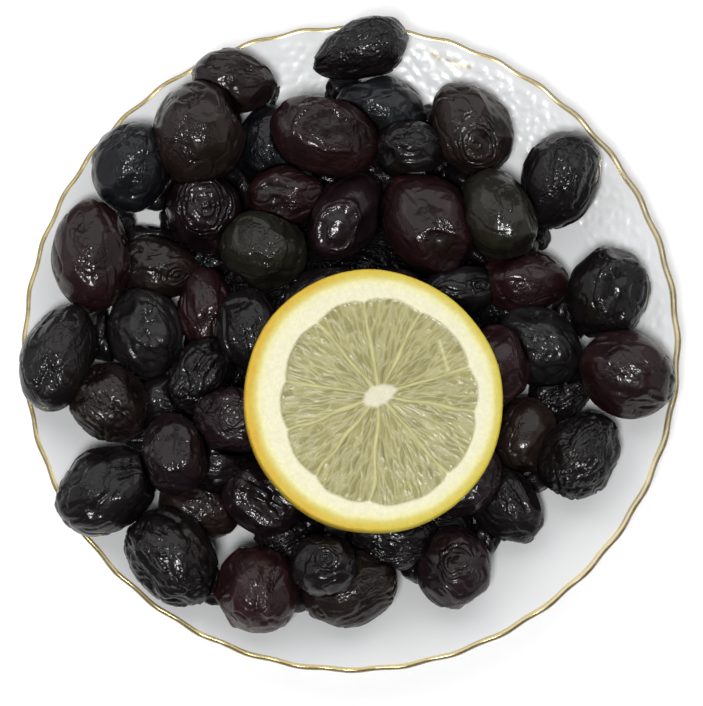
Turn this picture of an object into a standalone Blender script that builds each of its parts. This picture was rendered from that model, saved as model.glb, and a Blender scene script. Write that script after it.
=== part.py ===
"""A small porcelain dish heaped with black olives, with a slice of lemon lying on them."""

import math
import random

import bmesh
import bpy
import numpy as np
from mathutils import Matrix, Vector

MM = 0.001

# The dish: a shallow coupe on a foot ring, with a gently scalloped edge
RIM_RADIUS = 80 * MM
RIM_HEIGHT = 19.4 * MM
WELL_RADIUS = 44 * MM
WELL_HEIGHT = 5.6 * MM
RISE_POWER = 1.35
WALL_AT_WELL = 3.4 * MM
WALL_AT_RIM = 2.0 * MM
FOOT_INNER = 40 * MM
FOOT_OUTER = 44 * MM
FOOT_CHAMFER = 0.6 * MM
FOOT_ROOT = 2.6 * MM
SIDE_ROWS = 4
SCALLOPS = 40
STEPS_PER_SCALLOP = 3
SCALLOP_FROM = 62 * MM
SCALLOP_OUT = 0.2 * MM
SCALLOP_UP = 0.25 * MM

# The line of sight along which the olives' places are given: from the front, high above
SIGHT_DISTANCE = 520 * MM
SIGHT_ELEVATION = math.radians(79.2)

# How the olives lie on the dish and on each other
GAP = 0.35 * MM
SQUEEZE = 0.76
PLUMPNESS = 1.04
LEAN_SHARE = 0.6
LEAN_MOST = math.radians(24)
MAP_STEP = 0.5 * MM
MAP_REACH = 85 * MM
SIDES_ROUND = 11
SIDES_ALONG = 6
NECK_OVERLAP = 1.8 * MM
NECK_HALF_WIDTH = 2.8 * MM
NECK_SIDES = 6
DENTS = 2
DENT_DEPTH = 0.16
DENT_REACH = 0.75

# The mound of olives that lie hidden under the others in the middle
CORE_CENTRE = Vector((-1 * MM, -2 * MM))
CORE_RADIUS = 44 * MM
CORE_TOP = 18 * MM
CORE_FALL = 2.6
CORE_ROWS = 5
CORE_SIDES = 30

# The slice of lemon
SLICE_ACROSS = 4.9
SLICE_UP = -12.4
SLICE_RADIUS = 30.9 * MM
SLICE_THICKNESS = 6.2 * MM
ZEST_WIDTH = 1.5 * MM
FLESH_RADIUS = 24.2 * MM
FLESH_DEPTH = 0.5 * MM
PITH_HEART = 3.2 * MM
MEMBRANES = (99, 130, 171, 202, 231, 266, 310, 350, 379, 424)
SLICE_MOST_LEAN = 10

# Every olive that shows, and those that carry the slice: across, up, length, width in mm as seen
# along the line of sight, measured from the middle of the rim's outline; the turn of its long axis
# and how far that end points up, in degrees; and how much narrower that end is. The lowest come
# first, because each olive comes down on those before it.
OLIVES = [
    (-28.8, 64.6, 20.0, 15.5, -8, None, 0.1),
    (-53.5, 44.0, 21.0, 18.0, 75, None, 0.0),
    (-63.0, 22.5, 26.0, 18.5, 92, None, 0.1),
    (-35.8, 33.5, 20.5, 18.5, 80, 62, 0.1),
    (-19.0, 48.5, 20.0, 17.0, 90, None, 0.0),
    (7.0, 57.0, 21.3, 17.0, -12, None, 0.0),
    (-15.5, 36.0, 18.0, 14.0, 0, None, 0.1),
    (13.5, 45.5, 16.0, 13.0, 0, None, 0.0),
    (28.8, 53.6, 23.0, 18.5, 118, None, 0.1),
    (50.5, 40.8, 23.5, 18.5, 65, None, -0.1),
    (38.0, 26.0, 16.0, 13.0, 100, None, 0.0),
    (42.2, 16.3, 20.0, 15.0, -5, None, 0.1),
    (62.4, 13.4, 22.0, 18.5, 70, None, 0.0),
    (66.7, -6.2, 22.5, 19.5, -30, None, 0.0),
    (52.0, -8.5, 16.0, 12.5, 30, None, 0.0),
    (55.4, -25.9, 22.0, 18.0, 55, None, 0.1),
    (37.5, -38.1, 20.0, 15.0, -48, None, 0.1),
    (20.0, -42.0, 18.0, 14.0, 0, None, 0.0),
    (24.9, -53.3, 19.0, 17.5, -70, None, 0.0),
    (9.5, -46.0, 22.0, 15.0, 0, None, 0.0),
    (-0.3, -58.0, 23.0, 17.5, 20, None, 0.0),
    (-15.0, -46.0, 17.0, 14.0, 30, None, 0.0),
    (-23.0, -58.5, 20.5, 19.3, 100, None, 0.0),
    (-43.6, -51.0, 25.0, 20.0, -52, None, 0.1),
    (-37.0, -38.5, 19.0, 15.0, -20, None, 0.1),
    (-59.5, -34.5, 24.3, 19.6, 32, None, 0.0),
    (-71.0, -2.0, 26.0, 17.5, 72, None, 0.1),
    (-60.2, -11.8, 20.0, 18.0, -40, None, 0.0),
    (-45.0, -12.0, 18.0, 14.0, 0, None, 0.0),
    (-35.5, 10.0, 20.0, 13.0, 100, None, 0.0),
    (-33.0, -28.0, 17.0, 14.0, 0, None, 0.0),
    (-22.0, -36.0, 20.0, 16.0, -30, None, 0.0),
    (-36.5, -6.5, 19.0, 14.0, 60, None, 0.0),
    (-7.0, 12.0, 20.0, 14.0, 20, 0, 0.0),
    (12.0, 11.0, 19.0, 14.0, -30, 0, 0.0),
    (-10.0, -8.0, 20.0, 14.0, 80, 0, 0.0),
    (7.0, -6.0, 19.0, 14.0, 10, 0, 0.0),
    (20.0, -12.0, 18.0, 14.0, 60, 0, 0.0),
    (-8.0, -26.0, 19.0, 14.0, -40, 0, 0.0),
    (9.0, -25.0, 20.0, 14.0, 20, 0, 0.0),
    (27.0, 14.5, 18.0, 12.0, 10, None, 0.0),
    (27.0, -31.0, 19.0, 17.0, 45, None, 0.0),
    (45.5, 0.5, 21.0, 17.0, -35, None, 0.0),
    (34.5, -5.0, 20.0, 16.0, 80, None, 0.0),
    (-24.5, 4.5, 20.0, 15.0, 100, None, 0.0),
    (-28.5, -17.3, 18.5, 16.5, -10, None, 0.0),
    (2.1, 72.5, 23.0, 15.4, 20, None, -0.3),
    (41.8, -21.5, 18.5, 16.0, 75, None, 0.0),
    (-48.0, 22.0, 20.5, 15.5, -5, None, 0.1),
    (-37.4, 53.6, 24.6, 21.3, 78, None, 0.0),
    (-6.2, 51.5, 26.5, 19.0, -12, None, 0.1),
    (-21.5, 24.0, 20.5, 17.5, -20, None, 0.0),
    (-1.3, 32.8, 24.0, 16.0, 60, -20, 0.1),
    (35.5, 32.5, 24.0, 17.0, 115, None, 0.0),
    (18.7, 30.7, 26.5, 21.5, 125, None, 0.1),
    (-50.3, 4.0, 21.0, 17.0, 105, None, 0.0),
    (-43.0, -25.5, 19.0, 15.5, 95, None, 0.1),
    (-7.0, -52.5, 16.0, 14.5, 0, None, 0.0),
]

PORCELAIN = {"name": "white porcelain", "colour": (0.80, 0.81, 0.83), "roughness": 0.12}
OLIVE_SKIN = {"name": "black olive skin", "colour": (0.035, 0.024, 0.024), "roughness": 0.3}
LEMON = {"name": "cut lemon", "colour": (0.83, 0.72, 0.25), "roughness": 0.35}


def clear_scene():
    for thing in list(bpy.data.objects):
        bpy.data.objects.remove(thing, do_unlink=True)


def principled(finish):
    material = bpy.data.materials.new(finish["name"])
    material.use_nodes = True
    shader = material.node_tree.nodes["Principled BSDF"]
    shader.inputs["Base Color"].default_value = (*finish["colour"], 1)
    shader.inputs["Roughness"].default_value = finish["roughness"]
    shader.inputs["Metallic"].default_value = 0
    return material


def object_from(name, bm, finish=None, sharp_from=40):
    """Turns a bmesh into a named object, shaded smooth across edges blunter than sharp_from."""
    mesh = bpy.data.meshes.new(name)
    bm.to_mesh(mesh)
    bm.free()
    mesh.shade_smooth()
    mesh.set_sharp_from_angle(angle=math.radians(sharp_from))
    thing = bpy.data.objects.new(name, mesh)
    bpy.context.scene.collection.objects.link(thing)
    if finish:
        mesh.materials.append(principled(finish))
    return thing


def turned(profile, steps):
    """A closed body turned about Z from a profile that starts and ends on the axis."""
    bm = bmesh.new()
    points = [bm.verts.new((radius, 0, height)) for radius, height in profile]
    edges = [bm.edges.new(pair) for pair in zip(points, points[1:])]
    bmesh.ops.spin(
        bm, geom=points + edges, cent=(0, 0, 0), axis=(0, 0, 1), angle=math.tau, steps=steps
    )
    bmesh.ops.remove_doubles(bm, verts=bm.verts, dist=0.001 * MM)
    bmesh.ops.recalc_face_normals(bm, faces=bm.faces)
    return bm


def dish_rise(radius):
    """Height of the dish's upper face, without its scallops."""
    share = (radius - WELL_RADIUS) / (RIM_RADIUS - WELL_RADIUS)
    return WELL_HEIGHT + (RIM_HEIGHT - WELL_HEIGHT) * np.maximum(share, 0) ** RISE_POWER


def scallop(x, y):
    """How far the scallops lift the surface here, from -1 to 1, fading out inwards."""
    share = np.clip((np.hypot(x, y) - SCALLOP_FROM) / (RIM_RADIUS - SCALLOP_FROM), 0, 1)
    return share**2 * np.cos(SCALLOPS * np.arctan2(y, x))


def core_rise(x, y):
    """Height of the mound's upper face, which ends inside the dish."""
    share = np.hypot(x - CORE_CENTRE.x, y - CORE_CENTRE.y) / CORE_RADIUS
    rise = CORE_TOP - (CORE_TOP - WELL_HEIGHT) * share**CORE_FALL
    return np.where(share < 1.001, rise, 0)


def dish_profile():
    """(radius, height) from the middle of the underside, round the edge, to the middle of the top."""
    underside = WELL_HEIGHT - WALL_AT_WELL
    profile = [(0, underside), (FOOT_INNER - 1.5 * MM, underside)]
    profile += [(FOOT_INNER, 0)]
    profile += [(FOOT_OUTER - FOOT_CHAMFER, 0), (FOOT_OUTER, FOOT_CHAMFER)]
    profile += [(FOOT_OUTER + 1 * MM, FOOT_ROOT)]
    inner = FOOT_OUTER + 6 * MM
    outer = RIM_RADIUS - 0.7 * MM
    for row in range(SIDE_ROWS):
        share = row / (SIDE_ROWS - 1)
        radius = inner + (outer - inner) * share
        wall = WALL_AT_WELL + (WALL_AT_RIM - WALL_AT_WELL) * share
        profile.append((radius, dish_rise(radius) - wall))
    profile.append((RIM_RADIUS, dish_rise(outer) - WALL_AT_RIM / 2))
    for row in reversed(range(SIDE_ROWS + 1)):
        radius = WELL_RADIUS + (outer - WELL_RADIUS) * row / SIDE_ROWS
        profile.append((radius, dish_rise(radius)))
    profile.append((0, WELL_HEIGHT))
    return profile


def make_dish():
    bm = turned(dish_profile(), SCALLOPS * STEPS_PER_SCALLOP)
    for vert in bm.verts:
        wave = float(scallop(vert.co.x, vert.co.y))
        outward = Vector((vert.co.x, vert.co.y, 0))
        if outward.length:
            vert.co += outward.normalized() * SCALLOP_OUT * wave
        vert.co.z += SCALLOP_UP * wave
    return object_from("plate", bm, PORCELAIN)


def sight_frame():
    """The eye, the middle of the rim, and the direction that looks upwards in the picture."""
    middle = Vector((0, 0, RIM_HEIGHT))
    back = Vector((0, -math.cos(SIGHT_ELEVATION), math.sin(SIGHT_ELEVATION)))
    picture_up = Vector((0, math.sin(SIGHT_ELEVATION), math.cos(SIGHT_ELEVATION)))
    return middle + back * SIGHT_DISTANCE, middle, picture_up


def outline_middle():
    """How far above the rim's middle the middle of its outline appears, which is a little below."""
    eye, middle, picture_up = sight_frame()
    sight = (middle - eye).normalized()
    seen = []
    for y in (-RIM_RADIUS, RIM_RADIUS):
        ray = Vector((0, y, RIM_HEIGHT)) - eye
        seen.append(ray.dot(picture_up) * SIGHT_DISTANCE / ray.dot(sight))
    return sum(seen) / 2


def on_sight_line(across, up, height):
    """The point at this height that shows at (across, up), and its scale against the rim's middle."""
    eye, middle, picture_up = sight_frame()
    aim = middle + Vector((across, 0, 0)) + picture_up * (up + outline_middle())
    share = (eye.z - height) / (eye.z - aim.z)
    return eye + (aim - eye) * share, share


class HeightMap:
    """Heights over the dish, on which olives come down one after another."""

    def __init__(self):
        line = np.arange(-MAP_REACH, MAP_REACH + MAP_STEP / 2, MAP_STEP)
        self.x, self.y = np.meshgrid(line, line)
        radius = np.hypot(self.x, self.y)
        dish = dish_rise(radius) + SCALLOP_UP * scallop(self.x, self.y) + GAP
        self.dish = np.where(radius < RIM_RADIUS + SCALLOP_OUT, dish, 0)
        self.squeezed = core_rise(self.x, self.y)
        self.full = self.squeezed.copy()

    def at(self, x, y):
        column = int(round((x + MAP_REACH) / MAP_STEP))
        row = int(round((y + MAP_REACH) / MAP_STEP))
        return max(self.dish[row, column], self.squeezed[row, column])

    def faces_of(self, olive, squeeze):
        """The olive's lower and upper faces over the map, for its centre at height 0."""
        axis = olive["axis"]
        long2 = (olive["half_length"] * squeeze) ** 2
        wide2 = (olive["half_width"] * squeeze) ** 2
        x = self.x - olive["x"]
        y = self.y - olive["y"]
        along = x * axis.x + y * axis.y
        a = axis.z**2 / long2 + (1 - axis.z**2) / wide2
        b = along * axis.z * (1 / long2 - 1 / wide2)
        c = along**2 / long2 + (x**2 + y**2 - along**2) / wide2 - 1
        under_root = b * b - a * c
        inside = under_root > 0
        root = np.sqrt(np.where(inside, under_root, 0))
        return np.where(inside, (-b - root) / a, np.inf), np.where(inside, (-b + root) / a, -np.inf)

    def resting_height(self, olive):
        on_dish = self.dish - self.faces_of(olive, 1)[0]
        on_others = self.squeezed - self.faces_of(olive, SQUEEZE)[0]
        return max(on_dish.max(), on_others.max())

    def add(self, olive):
        height = olive["centre"].z
        self.squeezed = np.maximum(self.squeezed, height + self.faces_of(olive, SQUEEZE)[1])
        self.full = np.maximum(self.full, height + self.faces_of(olive, 1)[1])


def long_axis(turn, lean):
    return Vector((math.cos(lean) * math.cos(turn), math.cos(lean) * math.sin(turn), math.sin(lean)))


def natural_lean(heights, x, y, turn, half_length):
    """An olive leans with what lies under its two ends."""
    reach = 0.6 * half_length
    ends = []
    for side in (-1, 1):
        ends.append(heights.at(x + side * reach * math.cos(turn), y + side * reach * math.sin(turn)))
    lean = LEAN_SHARE * math.atan2(ends[1] - ends[0], 2 * reach)
    return max(-LEAN_MOST, min(LEAN_MOST, lean))


def settle(heights, across, up, length, width, turn, lean, taper):
    """Brings one olive down along the line of sight until it rests on the dish or on olives."""
    turn = math.radians(turn)
    height = RIM_HEIGHT
    for _ in range(4):
        centre, scale = on_sight_line(across * MM, up * MM, height)
        olive = {"x": centre.x, "y": centre.y, "taper": taper}
        olive["half_length"] = PLUMPNESS * length * MM * scale / 2
        olive["half_width"] = PLUMPNESS * width * MM * scale / 2
        if lean is None:
            tilt = natural_lean(heights, centre.x, centre.y, turn, olive["half_length"])
        else:
            tilt = math.radians(lean)
        olive["axis"] = long_axis(turn, tilt)
        height = heights.resting_height(olive)
    olive["centre"] = Vector((centre.x, centre.y, height))
    underside = height - olive["half_width"]
    olive["on_core"] = underside < float(core_rise(centre.x, centre.y)) - 1 * MM
    heights.add(olive)
    return olive


def olive_mesh(olive, draw):
    """A long sphere along its axis, narrower towards one end, with a few shallow dents."""
    bm = bmesh.new()
    bmesh.ops.create_uvsphere(bm, u_segments=SIDES_ROUND, v_segments=SIDES_ALONG, radius=1)
    dents = [Vector([draw.uniform(-1, 1) for _ in range(3)]).normalized() for _ in range(DENTS)]
    upright = Vector((0, 0, 1)).rotation_difference(olive["axis"]).to_matrix().to_4x4()
    place = Matrix.Translation(olive["centre"]) @ upright
    for vert in bm.verts:
        out = vert.co.normalized()
        press = sum(max(0, 1 - (out - dent).length / DENT_REACH) ** 2 for dent in dents)
        vert.co = out * (1 - DENT_DEPTH * press)
        along = vert.co.z if olive["taper"] > 0 else -vert.co.z
        narrowing = 1 - abs(olive["taper"]) * max(0, along + 0.3)
        vert.co.x *= olive["half_width"] * narrowing
        vert.co.y *= olive["half_width"] * narrowing
        vert.co.z *= olive["half_length"]
    bmesh.ops.transform(bm, matrix=place, verts=bm.verts)
    return bm


def reach(olive, direction):
    """Distance from the olive's middle to its skin in this direction."""
    share = olive["axis"].dot(direction) ** 2
    return (share / olive["half_length"] ** 2 + (1 - share) / olive["half_width"] ** 2) ** -0.5


def gap_between(one, other):
    way = other["centre"] - one["centre"]
    direction = way.normalized()
    return way.length - reach(one, direction) - reach(other, direction)


def necks(olives):
    """Small lumps where an olive barely touches the rest, so that the heap is one body."""
    joined = []
    waiting = []
    for olive in olives:
        from_core = math.hypot(olive["x"] - CORE_CENTRE.x, olive["y"] - CORE_CENTRE.y)
        inside = from_core < CORE_RADIUS - NECK_OVERLAP and olive["on_core"]
        (joined if inside else waiting).append(olive)
    found = []
    while waiting:
        gap, olive, holder = min(
            ((gap_between(a, b), a, b) for a in waiting for b in joined), key=lambda row: row[0]
        )
        waiting.remove(olive)
        joined.append(olive)
        if gap > -NECK_OVERLAP:
            direction = (holder["centre"] - olive["centre"]).normalized()
            middle = olive["centre"] + direction * (reach(olive, direction) + gap / 2)
            half_length = max(gap, 0) / 2 + NECK_OVERLAP
            found.append({"centre": middle, "axis": direction, "half_length": half_length})
    return found


def neck_mesh(neck):
    bm = bmesh.new()
    bmesh.ops.create_uvsphere(bm, u_segments=NECK_SIDES, v_segments=4, radius=1)
    upright = Vector((0, 0, 1)).rotation_difference(neck["axis"]).to_matrix().to_4x4()
    size = Matrix.Diagonal((NECK_HALF_WIDTH, NECK_HALF_WIDTH, neck["half_length"], 1))
    bmesh.ops.transform(bm, matrix=Matrix.Translation(neck["centre"]) @ upright @ size, verts=bm.verts)
    return bm


def make_core():
    """A low mound that follows the dish and joins the olives in the middle."""
    profile = []
    for row in range(CORE_ROWS + 1):
        radius = CORE_RADIUS * row / CORE_ROWS
        profile.append((radius, 0))
    for row in reversed(range(CORE_ROWS)):
        profile.append((CORE_RADIUS * row / CORE_ROWS, 1))
    bm = turned(profile, CORE_SIDES)
    for vert in bm.verts:
        on_top = vert.co.z > 0.5
        vert.co.x += CORE_CENTRE.x
        vert.co.y += CORE_CENTRE.y
        floor = float(dish_rise(math.hypot(vert.co.x, vert.co.y))) + GAP + 0.1 * MM
        crown = float(core_rise(vert.co.x, vert.co.y))
        vert.co.z = max(crown, floor + 2 * MM) if on_top else floor
    return object_from("olives", bm, OLIVE_SKIN)


def keep_largest_shell(mesh):
    """Drops loose scraps, and the inner faces of any hollow that the fusing sealed."""
    bm = bmesh.new()
    bm.from_mesh(mesh)
    waiting = set(bm.faces)
    shells = []
    while waiting:
        shell = {waiting.pop()}
        edge_of = list(shell)
        while edge_of:
            face = edge_of.pop()
            for edge in face.edges:
                for other in edge.link_faces:
                    if other in waiting:
                        waiting.remove(other)
                        shell.add(other)
                        edge_of.append(other)
        shells.append(shell)
    largest = max(shells, key=lambda shell: sum(face.calc_area() for face in shell))
    dropped = [face for shell in shells if shell is not largest for face in shell]
    bmesh.ops.delete(bm, geom=dropped, context="FACES")
    bmesh.ops.triangulate(bm, faces=bm.faces)
    bm.to_mesh(mesh)
    bm.free()
    return len(shells)


def make_heap(heights):
    """All olives come down in turn and are fused with the core into one body."""
    draw = random.Random(7)
    gathering = bpy.data.collections.new("olives to fuse")
    bpy.context.scene.collection.children.link(gathering)
    olives = [settle(heights, *measures) for measures in OLIVES]
    meshes = [olive_mesh(olive, draw) for olive in olives] + [neck_mesh(neck) for neck in necks(olives)]
    for number, bm in enumerate(meshes):
        thing = object_from(f"olive_{number}", bm)
        bpy.context.scene.collection.objects.unlink(thing)
        gathering.objects.link(thing)
    heap = make_core()
    fuse = heap.modifiers.new("fuse", "BOOLEAN")
    fuse.operation = "UNION"
    fuse.operand_type = "COLLECTION"
    fuse.collection = gathering
    fuse.solver = "EXACT"
    fused = bpy.data.meshes.new_from_object(heap.evaluated_get(bpy.context.evaluated_depsgraph_get()))
    heap.modifiers.clear()
    heap.data = fused
    fused.materials.clear()
    fused.materials.append(principled(OLIVE_SKIN))
    for thing in list(gathering.objects):
        bpy.data.objects.remove(thing, do_unlink=True)
    bpy.data.collections.remove(gathering)
    shells = keep_largest_shell(fused)
    print("olives:", len(olives), "necks:", len(meshes) - len(olives), "shells before cleaning:", shells)
    print("triangles of the heap:", len(fused.polygons))
    fused.shade_smooth()
    fused.set_sharp_from_angle(angle=math.radians(50))
    return heap


def rest_slice(heights):
    """The lean and height at which the slice's middle comes lowest while it clears every olive."""
    height = RIM_HEIGHT + 15 * MM
    for _ in range(3):
        centre, _scale = on_sight_line(SLICE_ACROSS * MM, SLICE_UP * MM, height)
        x = heights.x - centre.x
        y = heights.y - centre.y
        under = (np.hypot(x, y) < SLICE_RADIUS + 0.5 * MM) & (heights.full > 0)
        tops, x, y = heights.full[under], x[under], y[under]
        best = None
        for lean_x in range(-SLICE_MOST_LEAN, SLICE_MOST_LEAN + 1):
            for lean_y in range(-SLICE_MOST_LEAN, SLICE_MOST_LEAN + 1):
                slope_x = math.tan(math.radians(lean_x))
                slope_y = math.tan(math.radians(lean_y))
                rest = (tops - slope_x * x - slope_y * y).max()
                if best is None or rest < best[0]:
                    best = (rest, slope_x, slope_y)
        height = best[0] + GAP + SLICE_THICKNESS / 2
    normal = Vector((-best[1], -best[2], 1)).normalized()
    return Vector((centre.x, centre.y, best[0])) + normal * (GAP + SLICE_THICKNESS / 2), normal


def slice_columns():
    """Angles round the slice, each with whether it lies on a membrane."""
    columns = []
    for number, membrane in enumerate(MEMBRANES):
        following = MEMBRANES[(number + 1) % len(MEMBRANES)] + (360 if number == len(MEMBRANES) - 1 else 0)
        columns.append((membrane, True))
        for share in (0.1, 0.5, 0.9):
            columns.append((membrane + (following - membrane) * share, False))
    return [(math.radians(angle), raised) for angle, raised in columns]


def make_slice(centre, normal):
    """A disc of lemon: flesh sunk between membranes and pith on both faces, and a rounded rind."""
    half = SLICE_THICKNESS / 2
    flesh_half = half - FLESH_DEPTH
    pith = SLICE_RADIUS - ZEST_WIDTH
    rows = [(PITH_HEART, half, half), (PITH_HEART + 0.6 * MM, half, flesh_half)]
    rows += [(FLESH_RADIUS - 1.2 * MM, half, flesh_half), (FLESH_RADIUS, half, half)]
    rows += [(pith, half, half), (SLICE_RADIUS - 0.3 * MM, half - 0.9 * MM, half - 0.9 * MM)]
    columns = slice_columns()
    bm = bmesh.new()
    rings = []
    for side in (1, -1):
        face_rings = []
        for radius, on_membrane, between in rows:
            ring = []
            for angle, raised in columns:
                height = side * (on_membrane if raised else between)
                ring.append(bm.verts.new((radius * math.cos(angle), radius * math.sin(angle), height)))
            face_rings.append(ring)
        rings += face_rings if side == 1 else list(reversed(face_rings))
        if side == 1:
            reach = SLICE_RADIUS
            rings.append([bm.verts.new((reach * math.cos(a), reach * math.sin(a), 0)) for a, _ in columns])
    for ring, following in zip(rings, rings[1:]):
        for number in range(len(columns)):
            after = (number + 1) % len(columns)
            bm.faces.new((ring[number], ring[after], following[after], following[number]))
    for ring, height in ((rings[0], half), (rings[-1], -half)):
        heart = bm.verts.new((0, 0, height))
        for number in range(len(columns)):
            bm.faces.new((ring[number], ring[(number + 1) % len(columns)], heart))
    bmesh.ops.recalc_face_normals(bm, faces=bm.faces)
    upright = Vector((0, 0, 1)).rotation_difference(normal).to_matrix().to_4x4()
    bmesh.ops.transform(bm, matrix=Matrix.Translation(centre) @ upright, verts=bm.verts)
    return object_from("lemon_slice", bm, LEMON)


clear_scene()
make_dish()
height_map = HeightMap()
make_heap(height_map)
slice_centre, slice_normal = rest_slice(height_map)
make_slice(slice_centre, slice_normal)
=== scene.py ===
import math
import random

import bpy
import numpy as np
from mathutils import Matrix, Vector, noise


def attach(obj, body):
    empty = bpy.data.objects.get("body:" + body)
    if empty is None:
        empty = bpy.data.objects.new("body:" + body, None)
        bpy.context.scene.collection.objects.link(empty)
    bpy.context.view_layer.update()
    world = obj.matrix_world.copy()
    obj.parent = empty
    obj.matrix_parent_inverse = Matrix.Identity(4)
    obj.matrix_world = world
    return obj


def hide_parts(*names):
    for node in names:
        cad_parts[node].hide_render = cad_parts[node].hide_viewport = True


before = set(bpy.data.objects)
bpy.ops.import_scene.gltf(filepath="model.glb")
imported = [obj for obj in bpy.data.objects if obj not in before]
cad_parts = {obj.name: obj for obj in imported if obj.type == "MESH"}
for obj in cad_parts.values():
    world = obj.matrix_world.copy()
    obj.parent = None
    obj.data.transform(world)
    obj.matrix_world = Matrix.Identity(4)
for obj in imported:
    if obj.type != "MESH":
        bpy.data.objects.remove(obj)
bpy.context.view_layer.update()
mm = 0.001

# Small helpers

def deselectAll():
    bpy.ops.object.select_all(action="DESELECT")


def pick(*things):
    deselectAll()
    for thing in things:
        thing.select_set(True)
    bpy.context.view_layer.objects.active = things[0]


def coordinates(mesh):
    flat = np.empty(len(mesh.vertices) * 3)
    mesh.vertices.foreach_get("co", flat)
    return flat.reshape(-1, 3)


def setCoordinates(mesh, places):
    mesh.vertices.foreach_set("co", places.astype(np.float32).ravel())
    mesh.update()


def storeColour(mesh, name, colours):
    layer = mesh.attributes.new(name, "FLOAT_COLOR", "POINT")
    whole = np.ones((len(mesh.vertices), 4), np.float32)
    whole[:, :colours.shape[1]] = colours
    layer.data.foreach_set("color", whole.ravel())


def storeVector(mesh, name, vectors):
    layer = mesh.attributes.new(name, "FLOAT_VECTOR", "POINT")
    layer.data.foreach_set("vector", vectors.astype(np.float32).ravel())


# Soft noise from -1 to 1 at each point
def sample(points, seed=0):
    shift = Vector((seed * 7.31, seed * 3.17, seed * 5.73))
    return np.array([noise.noise(Vector(point) + shift) for point in points])


# Distances to the nearest and second nearest cell middle
def cells(points, seed=0):
    shift = Vector((seed * 7.31, seed * 3.17, seed * 5.73))
    found = [noise.voronoi(Vector(point) + shift)[0] for point in points]
    found = np.array([row[:2] for row in found])
    return found[:, 0], found[:, 1]


# 1 along the zero lines of a field, 0 beyond the width
def groove(field, width):
    return np.clip(1 - np.abs(field) / width, 0, 1) ** 1.5


def columns(*parts):
    return np.stack(parts, axis=1)


def blend(first, second, share):
    return first * (1 - share) + second * share


def distanceToLine(points, start, end):
    run = end - start
    share = np.clip((points - start) @ run / (run @ run), 0, 1)
    return np.linalg.norm(points - start - share[:, None] * run, axis=1)


def smoothStep(value, low, high):
    share = np.clip((value - low) / (high - low), 0, 1)
    return share * share * (3 - 2 * share)


def finishPiece(piece, material, replaced=None):
    piece.data.materials.clear()
    piece.data.materials.append(material)
    pick(piece)
    bpy.ops.object.shade_smooth()
    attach(piece, "root")
    if replaced:
        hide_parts(replaced)


# Materials

# A Principled material with short calls for its nodes
class Shader:
    def __init__(self, name, **values):
        self.material = bpy.data.materials.new(name)
        self.material.use_nodes = True
        self.tree = self.material.node_tree
        self.main = self.tree.nodes["Principled BSDF"]
        for key, value in values.items():
            self.main.inputs[key.replace("_", " ")].default_value = value

    def node(self, kind, **values):
        made = self.tree.nodes.new(kind)
        for key, value in values.items():
            if key[0].isupper():
                made.inputs[key.replace("_", " ")].default_value = value
            else:
                setattr(made, key, value)
        return made

    def link(self, source, target):
        self.tree.links.new(source, target)

    def feed(self, name, source):
        self.link(source, self.main.inputs[name])

    def attribute(self, name, output="Vector"):
        return self.node("ShaderNodeAttribute", attribute_name=name).outputs[output]

    def split(self, vector):
        made = self.node("ShaderNodeSeparateXYZ")
        self.link(vector, made.inputs[0])
        return made.outputs

    def mathOf(self, operation, first, second):
        made = self.node("ShaderNodeMath", operation=operation)
        for socket, value in zip(made.inputs, (first, second)):
            if isinstance(value, (int, float)):
                socket.default_value = value
            else:
                self.link(value, socket)
        return made.outputs[0]

    def noise(self, place, scale, detail=2.0, distortion=0.0):
        made = self.node("ShaderNodeTexNoise", Scale=scale, Detail=detail, Distortion=distortion)
        self.link(place, made.inputs["Vector"])
        return made.outputs[0]

    def noiseColour(self, place, scale):
        made = self.node("ShaderNodeTexNoise", Scale=scale, Detail=1.0)
        self.link(place, made.inputs["Vector"])
        return made.outputs["Color"]

    def spread(self, value, low, high, fromLow=0.0, fromHigh=1.0):
        made = self.node("ShaderNodeMapRange", From_Min=fromLow, From_Max=fromHigh, To_Min=low, To_Max=high)
        self.link(value, made.inputs["Value"])
        return made.outputs[0]

    def mixColour(self, share, first, second):
        made = self.node("ShaderNodeMix", data_type="RGBA")
        self.link(share, made.inputs[0])
        for number, colour in ((6, first), (7, second)):
            if isinstance(colour, tuple):
                made.inputs[number].default_value = (*colour, 1)
            else:
                self.link(colour, made.inputs[number])
        return made.outputs[2]

    def scaleColour(self, colour, factor):
        made = self.node("ShaderNodeVectorMath", operation="SCALE")
        self.link(colour, made.inputs[0])
        self.link(factor, made.inputs["Scale"])
        return made.outputs[0]

    def bump(self, height, distance, strength=1.0, under=None):
        made = self.node("ShaderNodeBump", Distance=distance, Strength=strength)
        self.link(height, made.inputs["Height"])
        if under:
            self.link(under, made.inputs["Normal"])
        return made.outputs[0]


# The camera's place, and where it sees things

view = {
    "elevation": 79.2,       # degrees above the table, seen from the front
    "distance": 0.52,        # from the eye to the middle of the rim
    "drop": 3.35 * mm,       # how far below the rim's middle the picture is centred
    "mmPerPixel": 0.2428,
    "longSidePixels": 706,
    "sensor": 36,            # mm
}


def sightFrame():
    elevation = math.radians(view["elevation"])
    middle = Vector((0, 0, dish["rimHeight"]))
    back = Vector((0, -math.cos(elevation), math.sin(elevation)))
    pictureUp = Vector((0, math.sin(elevation), math.cos(elevation)))
    return middle + back * view["distance"], middle, pictureUp


def outlineMiddle():
    eye, middle, pictureUp = sightFrame()
    sight = (middle - eye).normalized()
    seen = 0
    for y in (-dish["rimRadius"], dish["rimRadius"]):
        ray = Vector((0, y, dish["rimHeight"])) - eye
        seen += ray.dot(pictureUp) * view["distance"] / ray.dot(sight)
    return seen / 2


def onSightLine(across, up, height):
    eye, middle, pictureUp = sightFrame()
    aim = middle + Vector((across, 0, 0)) + pictureUp * (up + outlineMiddle())
    share = (eye.z - height) / (eye.z - aim.z)
    return eye + (aim - eye) * share, share


# The dish

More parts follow.
